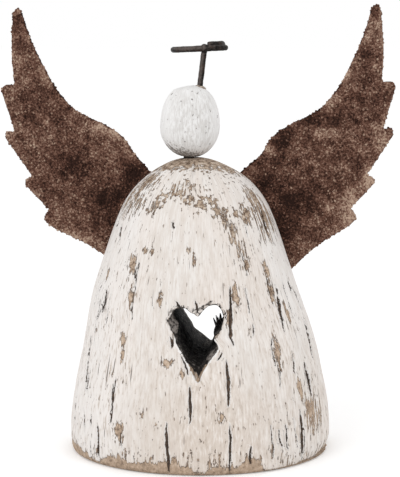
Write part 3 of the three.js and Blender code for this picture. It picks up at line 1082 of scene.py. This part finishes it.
head = fine_copy("head", "painted_head", voxel=0.5, rounds=6)
head_low, head_high = (np.array(corner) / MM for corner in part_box("head"))
head_middle = (head_low + head_high) / 2
head_rise = (spots_of(head)[:, 2] - head_low[2]) / (head_high[2] - head_low[2])
head_spots = egg_skin(spots_of(head))
put_spots(head, head_spots)
head_turn = np.arctan2(head_spots[:, 0] - head_middle[0], head_middle[1] - head_spots[:, 1])
head_drum = [HEAD_DRUM * np.sin(head_turn), -HEAD_DRUM * np.cos(head_turn), head_spots[:, 2]]
store(head, "grain_place", np.stack(head_drum, axis=1))
head_side = (head_spots[:, 0] - head_middle[0]) / (head_high[0] - head_low[0])
# painted shade: grey towards the bottom of the head, a little more on its left, where it meets the neck
store(head, "rubbed", smooth_step(head_rise + SHADE_LEAN * head_side, 0.25, 0.0))
# painted highlight: lighter at the left and right sides and at the top of the head
head_highlit_edges = [
    smooth_step(head_side, -0.1, -0.42),
    0.9 * smooth_step(head_side, 0.28, 0.46),
    0.6 * smooth_step(head_rise, 0.75, 0.95),
]
store(head, "pale_side", HEAD_HIGHLIGHT_SHARE * np.maximum.reduce(head_highlit_edges))
print("head:", len(head.data.polygons), "faces")

# %% Paint the head
HEAD_WHITE = tint(240, 239, 238)
HEAD_SHADE = tint(215, 212, 209)
HEAD_HIGHLIGHT = tint(252, 251, 250)
HEAD_PIT_AND_SHADE_GREY = tint(116, 108, 102)
PIT_EDGE = (0.69, 0.72)
UNDERSIDE_SHADE_EDGE = (0.5, 1.0)


def head_paint():
    """Brushed white with pits, painted lighter at the sides and top as a highlight and grey underneath as
    shade.
    """
    recipe = Recipe("cool_white_paint")
    drum = recipe.attribute("grain_place", "Vector")
    solid = recipe.object_millimetres()
    brush = recipe.grain(recipe.stretched(drum, (1, 1, 0.22)), 1.2, 3.0, 0.6)
    cloud = recipe.grain(solid, 0.16, 3.0)
    pit = recipe.grain(solid, 0.62, 2.0)
    grit = recipe.grain(solid, 0.9, 2.0, 0.6)
    pitted = recipe.step(pit, *PIT_EDGE)
    rubbed = recipe.attribute("rubbed") + brush.swing(0.9) + grit.swing(2.4)
    # painted shade under the head, broken up by noise
    underside_shade = recipe.step(rubbed, *UNDERSIDE_SHADE_EDGE)
    layers = [
        (recipe.step(cloud, 0.45, 0.7) * 0.35, HEAD_SHADE),
        (recipe.step(pit, 0.52, 0.66) * 0.45, HEAD_SHADE),
        (recipe.attribute("pale_side"), HEAD_HIGHLIGHT),
        (pitted * 0.75, HEAD_PIT_AND_SHADE_GREY),
        (underside_shade * 0.85, HEAD_PIT_AND_SHADE_GREY),
    ]
    colour = recipe.layered(recipe.mix(recipe.step(brush, 0.38, 0.62), HEAD_SHADE, HEAD_WHITE), layers)
    relief = brush * 0.1 - pitted * 0.25 + cloud * 0.1
    return recipe.finish(colour, 0.55 + underside_shade * 0.2, relief, Specular_IOR_Level=0.3)


coat(head, head_paint())
print("head finish:", len(head.data.materials[0].node_tree.nodes), "nodes")

# %% [markdown]
# Rusted wings
# The wings are sheet iron, rusted all over into dark, granular scale. The sheet gets a rough skin and a
# nibbled edge by noise, and Geometry Nodes scatter thousands of coarse grains of scale over it. Scattered
# grains follow the surface by themselves and give the outline its furry look.

# %% Rough sheets
EDGE_TURN = 0.6
SHEET_PIT = 0.14
EDGE_NIBBLE = 0.75
EDGE_LOSS = 0.6
EDGE_LINE = 0.9
TIP_LOSS_TALL = 10
WING_ROOT = 30
LEFT_BEND = 0.02
COARSE_NIBBLE = 0.6
INWARD_EDGE = (0.2, 0.8)
BROKEN_EDGE = (-0.25, 0.25)


def rough_sheet(node, name, seed):
    """A wing with pitted faces and a nibbled edge, how far its points are from it, and painted shade along
    its inner edges.
    """
    sheet = fine_copy(node, name, voxel=0.62, rounds=2)
    spots = spots_of(sheet)
    out = normals_of(sheet)
    at_edge = np.abs(out[:, 1]) < EDGE_TURN
    pits = SHEET_PIT * (lumps(spots, size=1.5, seed=seed) + lumps(spots, size=5, seed=seed + 1))
    tip = spots[:, 2].max()
    loss = EDGE_LOSS * smooth_step(spots[:, 2], tip, tip - TIP_LOSS_TALL)
    nibble = lumps(spots, size=1.5, seed=seed + 2) + COARSE_NIBBLE * lumps(spots, size=4, seed=seed + 3)
    rough = spots + out * np.where(at_edge, EDGE_NIBBLE * nibble - loss, pits)[:, None]
    rough[:, 0] += LEFT_BEND * np.clip(-WING_ROOT - spots[:, 0], 0, None)
    put_spots(sheet, rough)
    tree = tree_of(spots, np.flatnonzero(at_edge))
    nearest = [tree.find(Vector(s)) for s in spots]
    away = np.array([distance for _, _, distance in nearest])
    edge_out = out[[number for _, number, _ in nearest]]
    inward = edge_out[:, 2] - np.sign(spots[:, 0]) * edge_out[:, 0]
    broken = smooth_step(lumps(spots, size=3, seed=seed + 4), *BROKEN_EDGE)
    # painted shade: the sheet's edge seen in shadow, as broken dark lines along the inner edges
    shade = smooth_step(inward, *INWARD_EDGE) * hill(away, 0, EDGE_LINE) * broken
    print(name, len(sheet.data.polygons), "faces, up to", round(float(away.max()), 1), "mm from an edge")
    return sheet, away, shade


left_wing, left_away, left_shade = rough_sheet("wing_left", "left_wing_sheet", seed=51)
right_wing, right_away, right_shade = rough_sheet("wing_right", "right_wing_sheet", seed=61)

# %% [markdown]
# Rust is never one brown
# Each wing has paler and darker places, listed as a place across, a height, how wide and how tall they are
# and by how much they differ. The darker places next to the body are painted shade from the body; the
# others are the rust's own tones. Their sum is kept on the points, and one rust for both wings reads it.

# %% Rust
# the darker places next to the body are painted shade; the rest are the rust's own tones
LEFT_TONES_AND_SHADE = [
    (-50, 162, 4, 2, 0.16), (-41, 160, 4.5, 2, 0.16), (-35, 151, 2.5, 3.5, 0.13), (-60, 169, 3, 2, 0.1),
    (-33, 139, 4, 4, -0.2), (-48, 126, 4.5, 3, -0.14), (-66, 142, 4, 4, -0.1), (-59, 106, 5, 2.5, 0.12),
    (-97, 177, 2.5, 4, 0.08), (-92, 221, 1.5, 2.5, 0.2), (-39, 132, 4, 4, -0.12),
]
RIGHT_TONES_AND_SHADE = [
    (42, 154, 4.5, 4, -0.18), (56, 166, 5, 2.5, -0.18), (68, 165, 3.5, 3, -0.12), (61, 159, 5, 2, 0.13),
    (48, 152, 3, 4, 0.12), (35, 151, 2, 2.5, 0.12), (65, 175, 2.5, 2.5, 0.16), (72, 190, 2, 2, 0.16),
    (81, 205, 3, 2.5, 0.14), (81, 199, 3, 3, -0.14), (91, 154, 3, 5, 0.2), (85, 135, 3, 3, 0.22),
    (73, 122, 6, 2.5, 0.18), (76, 128, 3, 2.5, 0.18), (48, 122, 6, 5, -0.16), (32, 132, 4, 4, -0.15),
    (54, 101, 4, 2, 0.12), (87, 221, 1.5, 2.5, -0.14), (75, 116, 3.5, 2, 0.18), (38, 117, 6, 7, -0.12),
    (44, 109, 5, 5, -0.1),
]
RUST_STOPS = [
    (0.18, tint(40, 24, 18)), (0.42, tint(84, 56, 45)), (0.56, tint(109, 78, 65)),
    (0.72, tint(143, 113, 97)), (0.92, tint(190, 164, 144)),
]
TONE_SPREAD = 1.5
TONE_GAIN = 1.65
PALE_EDGES = 0.16
PALE_EDGE_WIDE = 3.0
BASE_TONE = -0.03
# how dark the painted shade along the inner edges of the wings is
EDGE_SHADE_DARKNESS = 0.5


def rust(name, tones):
    """Granular rust. Numbers that the points carry shift it darker or paler, painted shade among them."""
    recipe = Recipe(name)
    place = recipe.object_millimetres()
    crumb = recipe.grain(place, 0.95, 3.0, 0.75)
    mottle = recipe.grain(place, 0.17, 3.0, 0.6)
    zone = recipe.grain(place, 0.045, 2.0)
    tone = 0.5 + crumb.swing(1.75) + mottle.swing(0.9) + zone.swing(0.5)
    for attribute, share in tones:
        tone = tone + recipe.attribute(attribute) * share
    colour = recipe.ramp(tone, RUST_STOPS)
    roughness = 0.85 + crumb.swing(0.3)
    return recipe.finish(colour, roughness, crumb * 0.5 + mottle * 0.3, Specular_IOR_Level=0.12)


def wing_tones(wing, tones, away, shade):
    """How much paler or darker each point of a wing is than plain rust, with painted shade next to the body
    and along the inner edges.
    """
    across, _, up = spots_of(wing).T
    toned = np.zeros(len(across))
    for middle, level, wide, tall, change in tones:
        reach = hill(across, middle, wide * TONE_SPREAD) * hill(up, level, tall * TONE_SPREAD)
        toned += TONE_GAIN * change * reach
    return PALE_EDGES * np.exp(-away / PALE_EDGE_WIDE) + BASE_TONE + toned - EDGE_SHADE_DARKNESS * shade


store(left_wing, "paler", wing_tones(left_wing, LEFT_TONES_AND_SHADE, left_away, left_shade))
store(right_wing, "paler", wing_tones(right_wing, RIGHT_TONES_AND_SHADE, right_away, right_shade))
sheet_rust = rust("rusted_sheet_iron", [("paler", 1.0)])
coat(left_wing, sheet_rust)
coat(right_wing, sheet_rust)
print("rust tones:", len(RUST_STOPS))

# %% Grains of scale, scattered by Geometry Nodes
GRAIN_INPUTS = {"Grains per square metre": 340000.0, "Smallest": 0.26 * MM, "Largest": 0.8 * MM}
GRAIN_TONES = (-0.26, 0.74)
GRAIN_SUBDIVISIONS = 1
GRAIN_TONE_SHARE = 0.36


def grain_tree(name, material, seed):
    """Scatters small lumps over a sheet. Each lump stores a tone of its own, and the sheet's tone and
    painted shade under it.
    """
    tree = bpy.data.node_groups.new(name, "GeometryNodeTree")
    tree.interface.new_socket("Sheet", in_out="INPUT", socket_type="NodeSocketGeometry")
    for label in GRAIN_INPUTS:
        tree.interface.new_socket(label, in_out="INPUT", socket_type="NodeSocketFloat")
    tree.interface.new_socket("Grains", in_out="OUTPUT", socket_type="NodeSocketGeometry")

    def add(kind, **inputs):
        made = tree.nodes.new(kind)
        for label, value in inputs.items():
            made.inputs[label.replace("_", " ")].default_value = value
        return made

    def link(start, output, end, socket):
        tree.links.new(start.outputs[output], end.inputs[socket])

    given = add("NodeGroupInput")
    points = add("GeometryNodeDistributePointsOnFaces", Seed=seed)
    lump = add("GeometryNodeMeshIcoSphere", Radius=1.0, Subdivisions=GRAIN_SUBDIVISIONS)
    size = add("FunctionNodeRandomValue", Seed=seed + 1)
    tone = add("FunctionNodeRandomValue", Seed=seed + 2)
    for socket, value in zip((2, 3), GRAIN_TONES):
        tone.inputs[socket].default_value = value
    copies = add("GeometryNodeInstanceOnPoints")
    keep = add("GeometryNodeStoreNamedAttribute", Name="grain_tone")
    keep.domain = "INSTANCE"
    under = add("GeometryNodeInputNamedAttribute", Name="paler")
    pass_on = add("GeometryNodeStoreNamedAttribute", Name="sheet_tone")
    pass_on.domain = "INSTANCE"
    real = add("GeometryNodeRealizeInstances")
    paint = add("GeometryNodeSetMaterial")
    paint.inputs["Material"].default_value = material
    taken = add("NodeGroupOutput")
    link(given, "Sheet", points, "Mesh")
    link(given, "Grains per square metre", points, "Density")
    tree.links.new(given.outputs["Smallest"], size.inputs[2])
    tree.links.new(given.outputs["Largest"], size.inputs[3])
    link(points, "Points", copies, "Points")
    link(points, "Rotation", copies, "Rotation")
    link(lump, "Mesh", copies, "Instance")
    tree.links.new(size.outputs[1], copies.inputs["Scale"])
    link(copies, "Instances", keep, "Geometry")
    tree.links.new(tone.outputs[1], keep.inputs["Value"])
    link(keep, "Geometry", pass_on, "Geometry")
    link(under, "Attribute", pass_on, "Value")
    link(pass_on, "Geometry", real, "Geometry")
    link(real, "Geometry", paint, "Geometry")
    link(paint, "Geometry", taken, "Grains")
    return tree


def grains_on(sheet, name, material, seed):
    """The grains on one wing as a plain mesh of their own."""
    grains = new_piece(name, sheet.data.copy())
    scatter = grains.modifiers.new("scatter", "NODES")
    scatter.node_group = grain_tree(name + "_tree", material, seed)
    for item in scatter.node_group.interface.items_tree:
        if item.name in GRAIN_INPUTS:
            scatter[item.identifier] = GRAIN_INPUTS[item.name]
    keep_result(grains)
    grains.data.shade_smooth()
    print(name, len(grains.data.polygons), "faces")
    return grains


grain_rust = rust("rust_grains", [("grain_tone", GRAIN_TONE_SHARE), ("sheet_tone", 1.0)])
left_grains = grains_on(left_wing, "left_wing_grains", grain_rust, seed=3)
right_grains = grains_on(right_wing, "right_wing_grains", grain_rust, seed=13)

# %% [markdown]
# Halo, stem and glue
# The halo is a length of annealed wire, bent round by hand until its ends lap, on a straight stem that is
# pressed into the head and held by a drop of glue. The skin of the wire is nearly black with a dull shine,
# browner in patches, and lighter on the side that faces up, forward and left, as a painted highlight.

# %% Skin and blacken the wire
WIRE_SCALE = 0.22
WIRE_DENTS = ((3.2, 0.14), (1.1, 0.07))
HIGHLIGHT_SIDE = np.array((-0.35, -0.85, 0.4))
WIRE_BLACK = tint(18, 16, 15)
WIRE_GREY = tint(52, 46, 43)
WIRE_BROWN = tint(68, 51, 43)
WIRE_HIGHLIGHT = tint(120, 110, 105)


def hammered(node, name, seed):
    """A wire with a dented skin of scale, whose points know how much they face up, forward and left, for a
    painted highlight.
    """
    wire = fine_copy(node, name, voxel=0.34, rounds=5)
    spots = spots_of(wire)
    dents = sum(depth * lumps(spots, size, seed + n) for n, (size, depth) in enumerate(WIRE_DENTS))
    # painted highlight: how much each point faces up, forward and left
    store(wire, "rubbed", normals_of(wire) @ HIGHLIGHT_SIDE)
    put_spots(wire, spots + normals_of(wire) * (WIRE_SCALE + dents)[:, None])
    print(name, len(wire.data.polygons), "faces")
    return wire


def black_wire():
    """Nearly black, browner in patches, with a painted highlight on the side that faces up, forward and
    left.
    """
    recipe = Recipe("blackened_wire")
    place = recipe.object_millimetres()
    scale = recipe.grain(place, 0.9, 3.0, 0.65)
    patch = recipe.grain(place, 0.25, 2.0)
    # painted highlight on the side of the wire that faces up, forward and left
    rubbed = recipe.step(recipe.attribute("rubbed") + scale.swing(0.8), 0.55, 1.05)
    colour = recipe.mix(recipe.step(scale, 0.35, 0.7), WIRE_BLACK, WIRE_GREY)
    layers = [(recipe.step(patch, 0.5, 0.7) * 0.6, WIRE_BROWN), (rubbed * 0.55, WIRE_HIGHLIGHT)]
    shine = {"Metallic": 0.4, "Specular_IOR_Level": 0.12}
    return recipe.finish(recipe.layered(colour, layers), 0.5 + scale.swing(0.5), scale * 0.25, **shine)


halo_ring = hammered("halo_ring", "halo_wire_ring", seed=71)
halo_stem = hammered("halo_stem", "halo_wire_stem", seed=75)
wire_black = black_wire()
coat(halo_ring, wire_black)
coat(halo_stem, wire_black)

# %% A drop of glue round the foot of the stem
GLUE_RADIUS = 2.6
GLUE_HEIGHT = 1.5
GLUE_SIDES = 28
GLUE_RINGS = 9
GLUE_SUNK = 0.39
GLUE_ARC = 1.25 * math.pi / 2
GLUE_DARK = tint(120, 102, 88)
GLUE_PALE = tint(206, 192, 178)
GLUE_WAVES = ((0.12, 2, 1), (0.06, 5, 0))
STEM_FOOT = 2


def closed_tubes(name, tubes):
    """One piece made of tubes. Each is a list of rings of places, joined up and closed at both ends."""
    made = bmesh.new()
    for rings in tubes:
        rows = [[made.verts.new([v * MM for v in place]) for place in ring] for ring in rings]
        for low, high in zip(rows, rows[1:]):
            for n in range(len(low)):
                after = (n + 1) % len(low)
                made.faces.new((low[n], low[after], high[after], high[n]))
        made.faces.new(rows[0][::-1])
        made.faces.new(rows[-1])
    bmesh.ops.recalc_face_normals(made, faces=made.faces)
    mesh = bpy.data.meshes.new(name)
    made.to_mesh(mesh)
    made.free()
    return new_piece(name, mesh)


def glue_rings():
    """Rings of a low, uneven collar where the stem goes into the head, sunk a little into the paint."""
    stem = spots_of(halo_stem)
    crown = stem[np.abs(stem[:, 2] - head_high[2]) < STEM_FOOT].mean(axis=0)
    near = np.hypot(*(head_spots[:, :2] - crown[:2]).T) < GLUE_RADIUS
    near &= head_spots[:, 2] > head_spots[near][:, 2].max() - GLUE_RADIUS
    seat = head_spots[near]
    slope = np.linalg.lstsq(np.c_[seat[:, :2], np.ones(len(seat))], seat[:, 2], None)[0]
    rings = []
    for row in range(GLUE_RINGS):
        rise = GLUE_ARC * row / (GLUE_RINGS - 1) - GLUE_SUNK
        ring = []
        for side in range(GLUE_SIDES):
            turn = 2 * math.pi * side / GLUE_SIDES
            uneven = 1 + sum(size * math.sin(count * turn + late) for size, count, late in GLUE_WAVES)
            x = crown[0] + GLUE_RADIUS * math.cos(rise) * uneven * math.cos(turn)
            y = crown[1] + GLUE_RADIUS * math.cos(rise) * uneven * math.sin(turn)
            ring.append((x, y, slope[0] * x + slope[1] * y + slope[2] + GLUE_HEIGHT * math.sin(rise)))
        rings.append(ring)
    return rings


def amber_glue():
    """Cloudy glue with a soft shine."""
    recipe = Recipe("amber_glue")
    cloud = recipe.grain(recipe.object_millimetres(), 0.7, 2.0)
    colour = recipe.mix(recipe.step(cloud, 0.35, 0.7), GLUE_DARK, GLUE_PALE)
    return recipe.finish(colour, 0.3 + cloud * 0.1, cloud * 0.15)


glue = closed_tubes("stem_glue", [glue_rings()])
glue.data.shade_smooth()
coat(glue, amber_glue())
print("glue drop:", len(glue.data.polygons), "faces")

# %% [markdown]
# Splinters and the dowel
# The saw tore four fibres loose on the right wall of the heart, and they stand up like charred fingers. The
# dowel under the head needs no skin of its own: its solid is round enough and is only coloured near black.

# %% Charred splinters inside the heart
SPLINTER_ROOT = (10.6, -24, 63.5)
SPLINTER_STEP = 0.45
SPLINTER_TIPS = [(8.0, -25, 69.9), (9.3, -25, 71.3), (10.2, -26, 70.7), (11.4, -24, 72.0)]
SPLINTER_RADII = (0.8, 0.75, 0.75, 1.2)
SPLINTER_TAPER = 0.75
SPLINTER_SIDES = 7
SPLINTER_ROWS = 6


def splinter_rings(number, tip, radius):
    """Rings of one fibre from its root to its tip."""
    root = Vector(SPLINTER_ROOT) + Vector((SPLINTER_STEP * number, 0, 0))
    along = Vector(tip) - root
    deep = Vector((0, 1, 0))
    side = along.cross(deep).normalized()
    turns = [2 * math.pi * n / SPLINTER_SIDES for n in range(SPLINTER_SIDES)]
    rings = []
    for row in range(SPLINTER_ROWS):
        share = row / (SPLINTER_ROWS - 1)
        thick = radius * (1 - SPLINTER_TAPER * share ** 2)
        centre = root + along * share
        rings.append([centre + side * thick * math.cos(t) + deep * thick * math.sin(t) for t in turns])
    return rings


def charcoal():
    """Charred fibres with a little ash."""
    recipe = Recipe("charred_fibre")
    fibre = recipe.grain(recipe.stretched(recipe.object_millimetres(), (1, 1, 0.3)), 1.4, 3.0)
    colour = recipe.mix(recipe.step(fibre, 0.4, 0.7), SCORCH, SCORCH_GREY)
    return recipe.finish(colour, 0.7 + fibre.swing(0.3), fibre * 0.2, Specular_IOR_Level=0.15)


fibres = enumerate(zip(SPLINTER_TIPS, SPLINTER_RADII))
heart_splinters = closed_tubes("heart_splinters", [splinter_rings(n, *fibre) for n, fibre in fibres])
coat(heart_splinters, charcoal())
print(len(SPLINTER_TIPS), "splinters,", len(heart_splinters.data.polygons), "faces")

# %% Colour the dowel in the neck
DOWEL_DARK = tint(34, 27, 23)
DOWEL_PALE = tint(58, 45, 37)


def near_black_dowel():
    """Near-black wood with a fine upright grain."""
    recipe = Recipe("near_black_dowel")
    fibre = recipe.grain(recipe.stretched(recipe.object_millimetres(), (1, 1, 0.1)), 1.6, 3.0)
    colour = recipe.mix(recipe.step(fibre, 0.35, 0.65), DOWEL_DARK, DOWEL_PALE)
    return recipe.finish(colour, 0.75 + fibre.swing(0.2), fibre * 0.1)


coat(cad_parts["neck_dowel"], near_black_dowel())
print("dowel stained")

# %% [markdown]
# Floor and light
# The figure was lit from all round, as in a white tent, so it has almost no shadows. A white world does
# the same, with two large soft lamps to give the round body a little shape. What the camera sees beyond
# the floor is plain white.

# %% Floor
FLOOR_HALF = 20.0
FLOOR_WHITE = (0.93, 0.93, 0.93, 1.0)
FLOOR_LIFT = (0.22, 0.22, 0.22)
NO_LIGHT = (0.0, 0.0, 0.0)


def white_floor():
    """A wide pale floor, lifted a little for the camera so that only the shadow shows."""
    mesh = bpy.data.meshes.new("studio_floor")
    corners = [(-FLOOR_HALF, -FLOOR_HALF, 0), (FLOOR_HALF, -FLOOR_HALF, 0)]
    corners += [(FLOOR_HALF, FLOOR_HALF, 0), (-FLOOR_HALF, FLOOR_HALF, 0)]
    mesh.from_pydata(corners, [], [(0, 1, 2, 3)])
    floor = new_piece("studio_floor", mesh)
    recipe = Recipe("white_floor")
    seen = recipe.node("ShaderNodeLightPath", {}, {}, "Is Camera Ray")
    lift = recipe.mix(seen, NO_LIGHT, FLOOR_LIFT)
    coat(floor, recipe.finish(FLOOR_WHITE, 0.9, 0.0, Emission_Color=lift, Emission_Strength=1.0))
    return floor


floor = white_floor()
print("floor:", 2 * FLOOR_HALF, "m wide")

# %% World and lamps
WORLD_LIGHT = 0.84
LAMPS = [
    ("key_lamp", (-0.75, -1.1, 1.15), 0.9, 4.2),
    ("fill_lamp", (0.95, -1.0, 0.75), 0.9, 1.5),
]


def white_world():
    """White light from all round. The camera and shiny skins see it as plain white."""
    recipe = Recipe("white_tent", world=True)
    seen = 0.0
    for kind in ("Camera", "Glossy", "Transmission"):
        ray = recipe.node("ShaderNodeLightPath", {}, {}, f"Is {kind} Ray")
        seen = ray.math("MAXIMUM", ray, seen)
    strength = recipe.node("ShaderNodeMapRange", {}, {"Value": seen, "To Min": WORLD_LIGHT, "To Max": 1.0})
    shine = recipe.node("ShaderNodeBackground", {}, {"Color": (1.0, 1.0, 1.0, 1.0), "Strength": strength})
    bpy.context.scene.world = recipe.end_with(shine, "ShaderNodeOutputWorld")


def soft_lamp(name, place, size, power):
    """A round lamp, aimed at the middle of the figure."""
    data = bpy.data.lights.new(name, "AREA")
    data.shape = "DISK"
    data.size = size
    data.energy = power
    lamp = bpy.data.objects.new(name, data)
    lamp.location = place
    aim = Vector((0, 0, AIM_HEIGHT * MM)) - lamp.location
    lamp.rotation_euler = aim.to_track_quat("-Z", "Y").to_euler()
    bpy.context.scene.collection.objects.link(lamp)


white_world()
for lamp in LAMPS:
    soft_lamp(*lamp)
bpy.context.scene.view_settings.view_transform = "Standard"
print("lamps:", [lamp[0] for lamp in LAMPS])

# %% [markdown]
# Put the pieces on the body
# Nothing on the figure moves, so every piece rides on the one body. Each new skin that stands for a
# solid hides that solid.

# %% Ride and replace
PIECES = [
    (body, "painted_wood", "body"),
    (head, "head_paint", "head"),
    (left_wing, "rusted_sheet", "wing_left"),
    (right_wing, "rusted_sheet", "wing_right"),
    (left_grains, "rusted_sheet", None),
    (right_grains, "rusted_sheet", None),
    (halo_ring, "dark_wire", "halo_ring"),
    (halo_stem, "dark_wire", "halo_stem"),
    (glue, "dark_wire", None),
    (heart_splinters, "painted_wood", None),
]
for piece, finish, node in PIECES:
    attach(piece, "root")
    if node:
        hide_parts(node)
print(len(PIECES), "pieces ride on the body")
